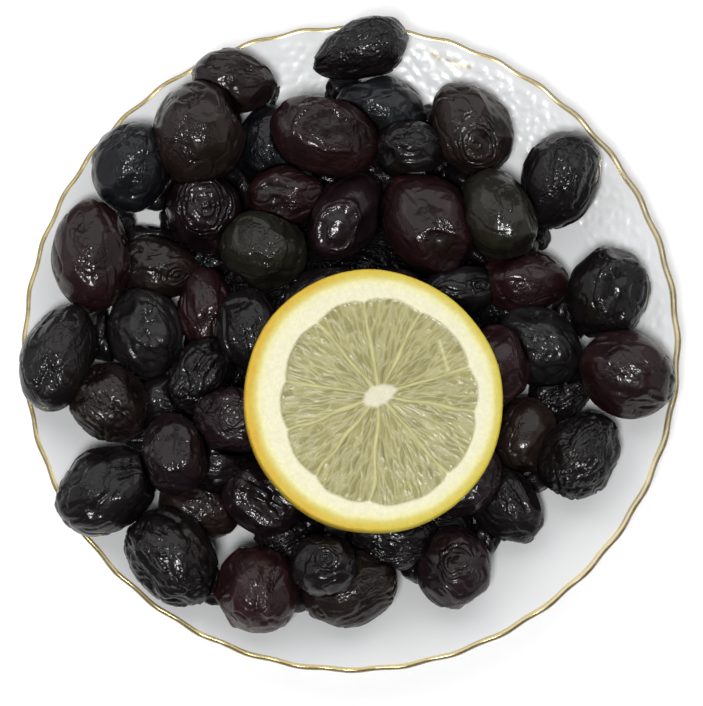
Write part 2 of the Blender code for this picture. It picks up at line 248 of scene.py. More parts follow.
dish = {
    "rimRadius": 80 * mm,
    "rimHeight": 19.4 * mm,
    "wellRadius": 44 * mm,
    "wellHeight": 5.6 * mm,
    "risePower": 1.35,
    "wallAtWell": 3.4 * mm,
    "wallAtRim": 2.0 * mm,
    "footInner": 40 * mm,
    "footOuter": 44 * mm,
    "footRoot": 2.6 * mm,
    "scallops": 40,
    "scallopFrom": 62 * mm,
    "scallopOut": 0.2 * mm,
    "scallopUp": 0.25 * mm,
    "stepsPerScallop": 18,
    "goldWidth": 1.3 * mm,
    "goldWidthRight": 1.75 * mm,
    "goldStrokes": ((19.6, 71.8, 21.6, 70.3), (23.2, 69.6, 28.4, 68.4)),   # from and to in mm, as seen
    "strokeHeight": 17 * mm,
    "lipRound": 0.7 * mm,
    "gold": (0.54, 0.44, 0.20),
    # Painted shade: the gold line turns to this dark brown at its outer edge, standing for the dark
    # surroundings that the gold reflects there
    "goldEdgePaintedShade": (0.20, 0.145, 0.06),      # at the very edge
    "glaze": ((0.69, 0.695, 0.705), (0.73, 0.735, 0.74)),
}


def dishRise(radius):
    share = (radius - dish["wellRadius"]) / (dish["rimRadius"] - dish["wellRadius"])
    rise = dish["rimHeight"] - dish["wellHeight"]
    return dish["wellHeight"] + rise * np.maximum(share, 0) ** dish["risePower"]


def scallop(x, y):
    run = dish["rimRadius"] - dish["scallopFrom"]
    share = np.clip((np.hypot(x, y) - dish["scallopFrom"]) / run, 0, 1)
    return share**2 * np.cos(dish["scallops"] * np.arctan2(y, x))


def dishProfile():
    under = dish["wellHeight"] - dish["wallAtWell"]
    inner = dish["footOuter"] + 6 * mm
    outer = dish["rimRadius"] - dish["lipRound"]
    profile = [(0, under), (dish["footInner"] - 3 * mm, under)]
    profile += [(dish["footInner"] - 1.2 * mm, under - 0.4 * mm)]
    profile += [(dish["footInner"] - 0.3 * mm, 0.5 * mm), (dish["footInner"] + 0.3 * mm, 0)]
    profile += [(dish["footOuter"] - 0.7 * mm, 0), (dish["footOuter"] - 0.1 * mm, 0.5 * mm)]
    profile += [(dish["footOuter"] + 0.6 * mm, dish["footRoot"] - 0.6 * mm)]
    profile += [(dish["footOuter"] + 1.8 * mm, dish["footRoot"])]
    rows = 22
    for row in range(rows):
        share = row / (rows - 1)
        radius = inner + (outer - inner) * share
        wall = dish["wallAtWell"] + (dish["wallAtRim"] - dish["wallAtWell"]) * share
        profile.append((radius, dishRise(radius) - wall))
    half = dish["wallAtRim"] / 2
    middle = dishRise(outer) - half
    for step in range(1, 8):
        angle = math.pi * step / 8
        profile.append((outer + dish["lipRound"] * math.sin(angle), middle - half * math.cos(angle)))
    rows = 68
    for row in reversed(range(rows + 1)):
        radius = dish["wellRadius"] + (outer - dish["wellRadius"]) * row / rows
        profile.append((radius, dishRise(radius)))
    for radius in (38, 30, 20, 10):
        profile.append((radius * mm, dish["wellHeight"]))
    profile.append((0, dish["wellHeight"]))
    return profile


# Turns a drawn profile about Z
def spinProfile(name, profile, steps):
    mesh = bpy.data.meshes.new(name)
    mesh.from_pydata([(r, 0, z) for r, z in profile], [(i, i + 1) for i in range(len(profile) - 1)], [])
    thing = bpy.data.objects.new(name, mesh)
    bpy.context.scene.collection.objects.link(thing)
    pick(thing)
    bpy.ops.object.mode_set(mode="EDIT")
    bpy.ops.mesh.select_all(action="SELECT")
    bpy.ops.mesh.spin(steps=steps, angle=math.tau, center=(0, 0, 0), axis=(0, 0, 1))
    bpy.ops.mesh.select_all(action="SELECT")
    bpy.ops.mesh.remove_doubles(threshold=0.000002)
    bpy.ops.mesh.normals_make_consistent(inside=False)
    bpy.ops.object.mode_set(mode="OBJECT")
    return thing


relief = {
    "from": -12,      # degrees round the rim where the low relief shows
    "to": 128,
    "fade": 14,
    "inner": 62 * mm,
    "outer": 77.5 * mm,
    "height": 0.30 * mm,
    "heightAtTop": 0.09 * mm,
    "topFrom": (55, 90),
    "size": 2.6 * mm,
}


def reliefLift(places, radius, turn, onTop):
    inZone = smoothStep(turn, relief["from"], relief["from"] + relief["fade"])
    inZone *= 1 - smoothStep(turn, relief["to"] - relief["fade"], relief["to"])
    inZone *= smoothStep(radius, relief["inner"], relief["inner"] + 3 * mm)
    inZone *= 1 - smoothStep(radius, relief["outer"] - 1.5 * mm, relief["outer"])
    zone = np.nonzero(onTop & (inZone > 0))[0]
    spots = places[zone] / relief["size"]
    near, second = cells(spots + 0.35 * sample(spots * 1.3, 3)[:, None], 4)
    lumps = smoothStep(second - near, 0.05, 0.45) + 0.6 * sample(spots * 2.2, 6)
    nearTop = smoothStep(turn[zone], *relief["topFrom"])
    lift = np.zeros(len(places))
    lift[zone] = lumps * inZone[zone] * blend(relief["height"], relief["heightAtTop"], nearTop)
    return lift


def goldStrokes(places, onTop):
    strokes = np.zeros(len(places))
    for x0, y0, x1, y1 in dish["goldStrokes"]:
        start = np.array(onSightLine(x0 * mm, y0 * mm, dish["strokeHeight"])[0])[:2]
        end = np.array(onSightLine(x1 * mm, y1 * mm, dish["strokeHeight"])[0])[:2]
        away = distanceToLine(places[:, :2], start, end)
        strokes = np.maximum(strokes, 0.6 * onTop * (1 - smoothStep(away, 0.2 * mm, 0.9 * mm)))
    return strokes


def makeDish():
    plate = spinProfile("dishPorcelain", dishProfile(), dish["scallops"] * dish["stepsPerScallop"])
    places = coordinates(plate.data)
    radius = np.hypot(places[:, 0], places[:, 1])
    wave = scallop(places[:, 0], places[:, 1])
    outward = np.where(radius[:, None] > 1e-6, places[:, :2] / np.maximum(radius, 1e-6)[:, None], 0)
    onTop = places[:, 2] > dishRise(radius) - 0.05 * mm
    turn = np.degrees(np.arctan2(places[:, 1], places[:, 0]))
    lift = reliefLift(places, radius, turn, onTop)
    places[:, :2] += outward * (dish["scallopOut"] * wave)[:, None]
    places[:, 2] += dish["scallopUp"] * wave + lift
    setCoordinates(plate.data, places)
    # The gold line is wider at the right, with a painted highlight along its middle there
    edge = np.hypot(places[:, 0], places[:, 1]) - dish["scallopOut"] * wave
    onRight = smoothStep(np.cos(np.radians(turn + 5)), 0.2, 0.9)
    goldWidth = blend(dish["goldWidth"], dish["goldWidthRight"], onRight)
    fromEdge = np.maximum(dish["rimRadius"] - edge, 0) / goldWidth
    storeVector(plate.data, "gilding", columns(fromEdge, onRight, goldStrokes(places, onTop)))
    finishPiece(plate, porcelain(), "plate")
    print("dish: faces", len(plate.data.polygons))


def porcelain():
    look = Shader("porcelain with a gold line", Roughness=0.25, Specular_IOR_Level=0.26)
    place = look.node("ShaderNodeTexCoord").outputs["Object"]
    glaze = look.mixColour(look.noise(place, 60, 3), *dish["glaze"])
    fromEdge, onRight, strokes = look.split(look.attribute("gilding"))
    band = look.spread(fromEdge, 1.0, 0.0, 0.85, 1.0)
    # Painted highlight: along the middle of the gold band at the right, the gold gives way to the pale glaze
    # colour, with less metal
    offMiddle = look.mathOf("ABSOLUTE", look.mathOf("SUBTRACT", fromEdge, 0.55), 0)
    gap = look.spread(offMiddle, 0.45, 0.0, 0.04, 0.18)
    goldAroundPaintedHighlight = look.mathOf("SUBTRACT", band, look.mathOf("MULTIPLY", gap, onRight))
    worn = look.spread(look.noise(place, 420, 3), 0.75, 1.2)
    line = look.mathOf("MULTIPLY", look.mathOf("MAXIMUM", goldAroundPaintedHighlight, strokes), worn)
    # Painted shade: the gold grows darker towards its outer edge
    gold = look.mixColour(look.spread(fromEdge, 0.0, 1.0, 0.1, 0.6), dish["goldEdgePaintedShade"], dish["gold"])
    look.feed("Base Color", look.mixColour(line, glaze, gold))
    look.feed("Metallic", look.mathOf("MULTIPLY", line, 0.75))
    look.feed("Normal", look.bump(look.noise(place, 300, 2), 0.02 * mm, 0.4))
    return look.material


# Where everything lies: the same rule by which the solids were placed

heap = {
    "gap": 0.35 * mm,
    "squeeze": 0.76,
    "plumpness": 1.04,
    "leanShare": 0.6,
    "leanMost": math.radians(24),
    "mapStep": 0.5 * mm,
    "mapReach": 85 * mm,
    "coreCentre": (-1 * mm, -2 * mm),
    "coreRadius": 44 * mm,
    "coreTop": 18 * mm,
    "coreFall": 2.6,
}

# Each olive: across, up, length, width in mm as seen from the camera, measured from the middle of
# the rim's outline; turn and lean in degrees; narrower end; kind of skin; colour; and where its
# skin's mark is, such as a dent, rings or a net of wrinkles, in parts of the olive's half width
# (across, up, reach). The lowest olives come first.
olives = [
    (-28.8, 64.6, 20.0, 15.5, -8, None, 0.1, "crater", "brown", (0.35, 0.25, 0.40)),
    (-53.5, 44.0, 21.0, 18.0, 75, None, 0.0, "netted", "blue", (0.25, 0.05, 0.45)),
    (-63.0, 22.5, 26.0, 18.5, 92, None, 0.1, "netted", "red", (0.10, -0.12, 0.38)),
    (-35.8, 33.5, 20.5, 18.5, 80, 62, 0.1, "ringed", "purple", (0.10, 0.00, 1.00)),
    (-19.0, 48.5, 20.0, 17.0, 90, None, 0.0, "netted", "blue", (-0.40, 0.00, 0.50)),
    (7.0, 57.0, 21.3, 17.0, -12, None, 0.0, "netted", "blue", (-0.20, -0.05, 0.25)),
    (-15.5, 36.0, 18.0, 14.0, 0, None, 0.1, "netted", "red", (0.10, -0.40, 0.30)),
    (13.5, 45.5, 16.0, 13.0, 0, None, 0.0, "netted", "black", (-0.20, 0.10, 0.30)),
    (28.8, 53.6, 23.0, 18.5, 118, None, 0.1, "ringed", "brown", (0.10, -0.42, 0.75)),
    (50.5, 40.8, 23.5, 18.5, 65, None, -0.1, "netted", "black", (0.00, 0.05, 0.55)),
    (38.0, 26.0, 16.0, 13.0, 100, None, 0.0, "netted", "grey", (0.20, 0.00, 0.40)),
    (42.2, 16.3, 20.0, 15.0, -5, None, 0.1, "netted", "red", (-0.15, -0.35, 0.35)),
    (62.4, 13.4, 22.0, 18.5, 70, None, 0.0, "crater", "black", (0.30, 0.05, 0.80)),
    (66.7, -6.2, 22.5, 19.5, -30, None, 0.0, "netted", "red", (-0.25, 0.12, 0.25)),
    (52.0, -8.5, 16.0, 12.5, 30, None, 0.0, "wrinkled", "black", (0.00, 0.00, 0.60)),
    (55.4, -25.9, 22.0, 18.0, 55, None, 0.1, "wrinkled", "black", (0.10, 0.00, 1.00)),
    (37.5, -38.1, 20.0, 15.0, -48, None, 0.1, "netted", "black", (0.10, 0.25, 0.50)),
    (20.0, -42.0, 18.0, 14.0, 0, None, 0.0, "folded", "black", (0.00, 0.00, 0.60)),
    (24.9, -53.3, 19.0, 17.5, -70, None, 0.0, "ringed", "purple", (0.05, 0.35, 0.55)),
    (9.5, -46.0, 22.0, 15.0, 0, None, 0.0, "wrinkled", "black", (0.00, -0.50, 0.60)),
    (-0.3, -58.0, 23.0, 17.5, 20, None, 0.0, "folded", "brown", (0.25, 0.10, 0.50)),
    (-15.0, -46.0, 17.0, 14.0, 30, None, 0.0, "wrinkled", "black", (0.00, 0.00, 0.60)),
    (-23.0, -58.5, 20.5, 19.3, 100, None, 0.0, "netted", "red", (0.25, -0.10, 0.35)),
    (-43.6, -51.0, 25.0, 20.0, -52, None, 0.1, "wrinkled", "black", (-0.35, 0.20, 0.60)),
    (-37.0, -38.5, 19.0, 15.0, -20, None, 0.1, "netted", "brown", (0.30, 0.10, 0.45)),
    (-59.5, -34.5, 24.3, 19.6, 32, None, 0.0, "folded", "black", (0.05, 0.20, 0.45)),
    (-71.0, -2.0, 26.0, 17.5, 72, None, 0.1, "netted", "black", (0.00, 0.00, 0.55)),
    (-60.2, -11.8, 20.0, 18.0, -40, None, 0.0, "wrinkled", "brown", (0.00, 0.10, 0.70)),
    (-45.0, -12.0, 18.0, 14.0, 0, None, 0.0, "netted", "black", (0.00, 0.00, 0.40)),
    (-35.5, 10.0, 20.0, 13.0, 100, None, 0.0, "netted", "red", (0.30, 0.00, 0.40)),
    (-33.0, -28.0, 17.0, 14.0, 0, None, 0.0, "folded", "black", (0.00, 0.00, 0.50)),
    (-22.0, -36.0, 20.0, 16.0, -30, None, 0.0, "crater", "purple", (0.15, 0.10, 0.85)),
    (-36.5, -6.5, 19.0, 14.0, 60, None, 0.0, "wrinkled", "black", (0.00, 0.00, 0.60)),
    (-7.0, 12.0, 20.0, 14.0, 20, 0, 0.0, "netted", "black", (0.00, 0.60, 0.50)),
    (12.0, 11.0, 19.0, 14.0, -30, 0, 0.0, "wrinkled", "purple", (0.00, 0.60, 0.50)),
    (-10.0, -8.0, 20.0, 14.0, 80, 0, 0.0, "hidden", "black", (0.00, 0.00, 0.50)),
    (7.0, -6.0, 19.0, 14.0, 10, 0, 0.0, "hidden", "black", (0.00, 0.00, 0.50)),
    (20.0, -12.0, 18.0, 14.0, 60, 0, 0.0, "hidden", "black", (0.00, 0.00, 0.50)),
    (-8.0, -26.0, 19.0, 14.0, -40, 0, 0.0, "hidden", "black", (0.00, 0.00, 0.50)),
    (9.0, -25.0, 20.0, 14.0, 20, 0, 0.0, "hidden", "black", (0.00, 0.00, 0.50)),
    (27.0, 14.5, 18.0, 12.0, 10, None, 0.0, "ringed", "grey", (0.50, 0.10, 0.40)),
    (27.0, -31.0, 19.0, 17.0, 45, None, 0.0, "crater", "purple", (0.00, 0.00, 0.85)),
    (45.5, 0.5, 21.0, 17.0, -35, None, 0.0, "netted", "grey", (-0.25, 0.15, 0.40)),
    (34.5, -5.0, 20.0, 16.0, 80, None, 0.0, "netted", "red", (0.60, 0.40, 0.20)),
    (-24.5, 4.5, 20.0, 15.0, 100, None, 0.0, "netted", "black", (-0.20, 0.05, 0.45)),
    (-28.5, -17.3, 18.5, 16.5, -10, None, 0.0, "wrinkled", "purple", (0.00, 0.20, 0.60)),
    (2.1, 72.5, 23.0, 15.4, 20, None, -0.3, "netted", "black", (0.10, -0.05, 0.95)),
    (41.8, -21.5, 18.5, 16.0, 75, None, 0.0, "netted", "brown", (-0.30, 0.38, 0.25)),
    (-48.0, 22.0, 20.5, 15.5, -5, None, 0.1, "ringed", "brown", (0.50, -0.22, 0.50)),
    (-37.4, 53.6, 24.6, 21.3, 78, None, 0.0, "netted", "brown", (-0.22, -0.14, 0.42)),
    (-6.2, 51.5, 26.5, 19.0, -12, None, 0.1, "crater", "red", (0.15, 0.15, 0.60)),
    (-21.5, 24.0, 20.5, 17.5, -20, None, 0.0, "netted", "green", (0.00, -0.05, 0.50)),
    (-1.3, 32.8, 24.0, 16.0, 60, -20, 0.1, "rimmed", "purple", (-0.12, -0.28, 0.72)),
    (35.5, 32.5, 24.0, 17.0, 115, None, 0.0, "netted", "green", (-0.15, 0.05, 0.25)),
    (18.7, 30.7, 26.5, 21.5, 125, None, 0.1, "crater", "red", (0.22, -0.50, 0.52)),
    (-50.3, 4.0, 21.0, 17.0, 105, None, 0.0, "folded", "grey", (0.10, 0.30, 0.40)),
    (-43.0, -25.5, 19.0, 15.5, 95, None, 0.1, "crater", "purple", (0.00, 0.28, 0.62)),
    (-7.0, -52.5, 16.0, 14.5, 0, None, 0.0, "ringed", "black", (0.05, 0.30, 0.45)),
]


# Small dark olives deep in the gaps, of which only a little shows: across, up, length, width, turn
fillers = [
    (-26.8, 38.8, 16, 12.5, 60),
    (-59.5, 3.2, 13, 10.5, 80),
    (-13.3, -57.5, 12, 9, 100),
    (-33.5, -58.0, 8, 7.5, 90),
    (-45.8, 39.5, 13, 9.5, 60),
    (32.5, -46.0, 9, 7, 60),
    (-2.0, 63.0, 9, 7.5, 20),
    (19.0, 54.5, 9, 7, 90),
    (21.8, 44.1, 8, 6.5, 0),
    (-34.2, 22.2, 9, 7, 0),
    (-49.5, 26.3, 14, 7.5, 0),
    (-55.3, 30.5, 6, 5, 60),
    (-44.0, 30.8, 6, 5, 120),
    (-51.2, -21.2, 8, 6.5, 0),
    (45.5, 27.0, 6, 5, 80),
    (-18.6, 61.2, 5.5, 1.2, 70),
    (53.3, 8.0, 12, 9.5, 80),
    (-46.5, -8.0, 14, 11, 0),
    (17.0, -50.0, 14, 10.5, 80),
    (-53.0, 14.5, 14, 11, 30),
    (7.5, 42.0, 12, 10, 0),
    (-3.5, 43.0, 13, 9, 0),
    (31.0, 22.5, 12, 9, 0),
    (28.5, 43.5, 14, 11, 60),
    (44.5, -30.0, 13, 10, 30),
]


def coreRise(x, y):
    share = np.hypot(x - heap["coreCentre"][0], y - heap["coreCentre"][1]) / heap["coreRadius"]
    rise = heap["coreTop"] - (heap["coreTop"] - dish["wellHeight"]) * share ** heap["coreFall"]
    return np.where(share < 1.001, rise, 0)


# Heights over the dish, on which olives come down one after another
class HeightMap:
    def __init__(self):
        line = np.arange(-heap["mapReach"], heap["mapReach"] + heap["mapStep"] / 2, heap["mapStep"])
        self.x, self.y = np.meshgrid(line, line)
        radius = np.hypot(self.x, self.y)
        rise = dishRise(radius) + dish["scallopUp"] * scallop(self.x, self.y) + heap["gap"]
        self.dish = np.where(radius < dish["rimRadius"] + dish["scallopOut"], rise, 0)
        self.squeezed = coreRise(self.x, self.y)
        self.full = self.squeezed.copy()

    def at(self, x, y):
        column = int(round((x + heap["mapReach"]) / heap["mapStep"]))
        row = int(round((y + heap["mapReach"]) / heap["mapStep"]))
        return max(self.dish[row, column], self.squeezed[row, column])

    def facesOf(self, olive, squeeze):   # the heights of its underside and top, from its middle
        axis = olive["axis"]
        long2 = (olive["halfLength"] * squeeze) ** 2
        wide2 = (olive["halfWidth"] * squeeze) ** 2
        x = self.x - olive["x"]
        y = self.y - olive["y"]
        along = x * axis.x + y * axis.y
        a = axis.z**2 / long2 + (1 - axis.z**2) / wide2
        b = along * axis.z * (1 / long2 - 1 / wide2)
        c = along**2 / long2 + (x**2 + y**2 - along**2) / wide2 - 1
        underRoot = b * b - a * c
        inside = underRoot > 0
        root = np.sqrt(np.where(inside, underRoot, 0))
        return np.where(inside, (-b - root) / a, np.inf), np.where(inside, (-b + root) / a, -np.inf)

    def restingHeight(self, olive):
        onDish = self.dish - self.facesOf(olive, 1)[0]
        onOthers = self.squeezed - self.facesOf(olive, heap["squeeze"])[0]
        return max(onDish.max(), onOthers.max())

    def add(self, olive):
        height = olive["centre"].z
        self.squeezed = np.maximum(self.squeezed, height + self.facesOf(olive, heap["squeeze"])[1])
        self.full = np.maximum(self.full, height + self.facesOf(olive, 1)[1])


def longAxis(turn, lean):
    return Vector((math.cos(lean) * math.cos(turn), math.cos(lean) * math.sin(turn), math.sin(lean)))


def naturalLean(heights, x, y, turn, halfLength):
    reach = 0.6 * halfLength
    ends = []
    for side in (-1, 1):
        ends.append(heights.at(x + side * reach * math.cos(turn), y + side * reach * math.sin(turn)))
    lean = heap["leanShare"] * math.atan2(ends[1] - ends[0], 2 * reach)
    return max(-heap["leanMost"], min(heap["leanMost"], lean))


def settle(heights, across, up, length, width, turn, lean, taper, skin, tone, mark):
    turn = math.radians(turn)
    height = dish["rimHeight"]
    for _ in range(4):
        centre, scale = onSightLine(across * mm, up * mm, height)
        olive = {"x": centre.x, "y": centre.y, "taper": taper, "skin": skin, "tone": tone, "mark": mark}
        olive["halfLength"] = heap["plumpness"] * length * mm * scale / 2
        olive["halfWidth"] = heap["plumpness"] * width * mm * scale / 2
        if lean is None:
            tilt = naturalLean(heights, centre.x, centre.y, turn, olive["halfLength"])
        else:
            tilt = math.radians(lean)
        olive["axis"] = longAxis(turn, tilt)
        height = heights.restingHeight(olive)
    olive["centre"] = Vector((centre.x, centre.y, height))
    heights.add(olive)
    return olive


# A small olive that lies on the dish, under all the others
def layFiller(across, up, length, width, turn):
    height = dish["wellHeight"] + width / 2 * mm
    for _ in range(4):
        centre, _scale = onSightLine(across * mm, up * mm, height)
        radius = math.hypot(centre.x, centre.y)
        slope = (dishRise(radius + mm) - dishRise(radius - mm)) / (2 * mm)
        height = float(dishRise(radius)) + width / 2 * mm * math.hypot(1, slope) + heap["gap"]
    return {
        "axis": longAxis(math.radians(turn), 0.0), "centre": Vector((centre.x, centre.y, height)),
        "halfLength": length / 2 * mm, "halfWidth": width / 2 * mm, "taper": 0.0, "skin": "hidden",
        "tone": "black", "mark": (0.0, 0.0, 0.5),
    }


# The lean and height at which the slice's middle comes lowest while it clears every olive
def restSlice(heights):
    height = dish["rimHeight"] + 15 * mm
    for _ in range(3):
        centre, _scale = onSightLine(lemon["across"] * mm, lemon["up"] * mm, height)
        x = heights.x - centre.x
        y = heights.y - centre.y
        under = (np.hypot(x, y) < lemon["radius"] + 0.5 * mm) & (heights.full > 0)
        tops, x, y = heights.full[under], x[under], y[under]
        best = None
        for leanX in range(-lemon["mostLean"], lemon["mostLean"] + 1):
            for leanY in range(-lemon["mostLean"], lemon["mostLean"] + 1):
                slopeX = math.tan(math.radians(leanX))
                slopeY = math.tan(math.radians(leanY))
                rest = (tops - slopeX * x - slopeY * y).max()
                if best is None or rest < best[0]:
                    best = (rest, slopeX, slopeY)
        height = best[0] + heap["gap"] + lemon["thickness"] / 2
    normal = Vector((-best[1], -best[2], 1)).normalized()
    lift = normal * (heap["gap"] + lemon["thickness"] / 2)
    return Vector((centre.x, centre.y, best[0])) + lift, normal


# The olives

skinFinish = {
    "cuts": 36,            # cuts along each side of the rounded cube that an olive starts from
    "quickCuts": 13,
    "hiddenCuts": 11,
    "mostInPiece": 12,     # olives joined into one piece
    "plump": 0.40,         # mm by which the skin stands proud of the round form where it isn't sunk
    "foldHeight": 0.06,    # mm
    "flats": 7,            # where it was pressed in the jar
    "black": (0.0050, 0.0037, 0.0040),
    "blue": (0.0046, 0.0050, 0.0064),
    "brown": (0.0125, 0.0074, 0.0060),
    "red": (0.0140, 0.0048, 0.0056),
    "purple": (0.0105, 0.0052, 0.0066),
    "green": (0.0082, 0.0077, 0.0050),
    "grey": (0.0088, 0.0078, 0.0078),
}


# A cube, subdivided and made round: even faces and no poles
def roundedCube(name, cuts):
    deselectAll()
    bpy.ops.mesh.primitive_cube_add(size=2)
    start = bpy.context.active_object
    start.name = name
    bpy.ops.object.mode_set(mode="EDIT")
    bpy.ops.mesh.select_all(action="SELECT")
    bpy.ops.mesh.subdivide(number_cuts=cuts)
    bpy.ops.transform.tosphere(value=1)
    bpy.ops.object.mode_set(mode="OBJECT")
    bpy.ops.object.shade_smooth()
    return start


# The way from an olive's middle to its mark, as the camera sees it
def markDirection(mark):
    eye, middle, pictureUp = sightFrame()
    across, up, _reach = mark
    forward = math.sqrt(max(0.05, 1 - across**2 - up**2))
    back = (eye - middle).normalized()
    return (Vector((1, 0, 0)) * across + pictureUp * up + back * forward).normalized()


# How far the skin is sunk in mm, how strongly it is finely folded, and the folds' phase
def skinRelief(out, olive, seed, markWay):
    skin = olive["skin"]
    reach = olive["mark"][2]
    draw = random.Random(seed * 17)
    warp = columns(*(sample(out * 1.7, seed + k) for k in (1, 2, 3)))
    depth = 0.5 * sample(out * 1.3, seed + 4) + 0.26 * sample(out * 2.8, seed + 5)
    # Each flat has a soft edge
    for _ in range(skinFinish["flats"]):
        way = Vector((draw.gauss(0, 1), draw.gauss(0, 1), draw.gauss(0, 0.8))).normalized()
        near = out @ np.array(way) + 0.02 * warp[:, 0]
        depth += 10 * np.maximum(0, near - draw.uniform(0.89, 0.95))
    along = out * (2.0, 2.0, 0.8) + 0.5 * warp
    first = sample(along * 0.95, seed + 7)
    fromMark = np.arccos(np.clip(out @ np.array(markWay), -1, 1)) + 0.08 * warp[:, 1]
    patch = np.exp(-(fromMark / max(1.15 * reach, 0.1)) ** 2)
    folded = 0.05 + 0.95 * patch
    phase = sample(along * 0.75, seed + 12) * 34
    # A flap of skin that is folded over itself leaves one low step
    flap = sample(along * 0.8, seed + 10)
    depth += 0.42 * smoothStep(flap, -0.025, 0.025) - 0.15 * groove(flap - 0.04, 0.06)
    if skin == "netted":
        depth += 0.45 * groove(first, 0.06) + 0.15 * patch * sample(out * 5, seed + 6)
    elif skin == "crater":
        edge = 0.95 * reach
        depth += (2.2 * reach**2 + 0.1) * (1 - smoothStep(fromMark, 0.3 * edge, edge))
        depth += 0.3 * groove(first, 0.08)
        depth -= 0.22 * np.exp(-((fromMark - 1.05 * edge) / 0.10) ** 2)
        folded = 0.12 + 0.88 * np.exp(-((fromMark - 0.92 * edge) / 0.2) ** 2)
        phase = phase * 0.4 + fromMark * 22
    elif skin == "rimmed":
        ring = np.exp(-((fromMark - 0.85 * reach) / 0.10) ** 2)
        hook = np.exp(-((fromMark - 0.3 * reach) / 0.08) ** 2) * smoothStep(first, -0.1, 0.15)
        depth += 0.5 * (1 - smoothStep(fromMark, 0.5 * reach, 0.85 * reach)) - 0.3 * ring - 0.25 * hook
        folded = 0.04 + 0.96 * np.maximum(ring, hook)
        phase = (fromMark + 0.1 * sample(out * 2.2, seed + 12)) * 44
    elif skin == "ringed":
        depth += 0.35 * groove(first, 0.08) + 0.25 * (1 - smoothStep(fromMark, 0.1, 0.5 * reach))
        phase = (fromMark + 0.16 * sample(out * 2.2, seed + 12) + 0.05 * sample(out * 5.5, seed + 14)) * 38
        folded = 0.04 + 0.96 * (1 - smoothStep(fromMark, 0.75 * reach, 1.25 * reach))
    elif skin == "folded":
        flow = sample(along * 0.55, seed + 12)
        depth += 0.55 * groove(np.sin(flow * 11), 0.5) * smoothStep(sample(out * 1.5, seed + 9), -0.4, 0.3)
        depth += 0.5 * groove(first, 0.1) + 0.5 * reach * patch
        folded = 0.25 + 0.75 * patch
        phase = flow * 34
    elif skin == "wrinkled":
        second = sample(along * 2.1, seed + 8)
        third = sample(along * 4.0, seed + 9)
        depth += 0.6 * groove(first, 0.15) + 0.35 * groove(second, 0.2) + 0.15 * groove(third, 0.28)
        folded = 0.2 + 0.8 * patch
    folded *= 0.25 + 0.75 * smoothStep(sample(out * 4.2, seed + 13), -0.4, 0.2)
    if skin != "hidden":
        depth += skinFinish["foldHeight"] * np.sin(phase) * folded
    return depth, folded, phase


# The olive's round form as a quadratic: 1 on its surface
def reachMatrix(olive):
    axis = np.array(olive["axis"])
    along = np.outer(axis, axis)
    return along / olive["halfLength"] ** 2 + (np.eye(3) - along) / olive["halfWidth"] ** 2


# Sinks the skin where an olive that lies on it presses, so that nothing runs into anything
def pressAgainst(places, olive, others):
    centre = np.array(olive["centre"])
    ways = places - centre
    shares = np.ones(len(places))
    for other in others:
        apart = centre - np.array(other["centre"])
        if np.linalg.norm(apart) > olive["halfLength"] + other["halfLength"] + 1 * mm:
            continue
        form = reachMatrix(other)
        a = np.einsum("ij,jk,ik->i", ways, form, ways)
        b = ways @ form @ apart
        c = float(apart @ form @ apart) - 1.05
        underRoot = b * b - a * c
        meets = (underRoot > 0) & (b < 0)
        meeting = np.where(meets, (-b - np.sqrt(np.maximum(underRoot, 0))) / a, 9)
        meeting = np.maximum(meeting, 0.15)
        # A soft lower bound of both rounds the edge of the pressed patch
        soft = 0.04
        share = np.clip(0.5 + 0.5 * (meeting - shares) / soft, 0, 1)
        shares = blend(meeting, shares, share) - soft * share * (1 - share)
    return centre + ways * shares[:, None]


def shapeOlive(base, olive, others, seed):
    thing = base.copy()
    thing.data = base.data.copy()
    bpy.context.scene.collection.objects.link(thing)
    out = coordinates(thing.data)
    out /= np.linalg.norm(out, axis=1)[:, None]
    upright = Vector((0, 0, 1)).rotation_difference(olive["axis"]).to_matrix()
    markWay = (upright.inverted() @ markDirection(olive["mark"]))[:]
    depth, folded, phase = skinRelief(out, olive, seed, markWay)
    places = out * (olive["halfWidth"], olive["halfWidth"], olive["halfLength"])
    tipward = out[:, 2] if olive["taper"] > 0 else -out[:, 2]
    places[:, :2] *= (1 - abs(olive["taper"]) * np.maximum(0, tipward + 0.3))[:, None]
    reach = np.linalg.norm(places, axis=1)
    places *= (1 - (depth - skinFinish["plump"]) * mm / reach)[:, None]
    skinPlace = places / mm + seed * 31.7
    places = places @ np.array(upright).T + np.array(olive["centre"])
    places = pressAgainst(places, olive, others)
    setCoordinates(thing.data, places)
    draw = random.Random(seed)
    tone = np.array(skinFinish[olive["tone"]]) * draw.uniform(0.8, 1.25)
    # Painted shade and light: skin sunk into creases and dents is painted darker, raised skin lighter
    shade = np.clip(1.1 - 0.4 * depth, 0.5, 1.4)[:, None]
    storeColour(thing.data, "skinToneAndPaintedShade", tone * shade)
    storeVector(thing.data, "skinPlace", skinPlace)
    storeVector(thing.data, "skinFolds", columns(phase, folded, depth))
    return thing


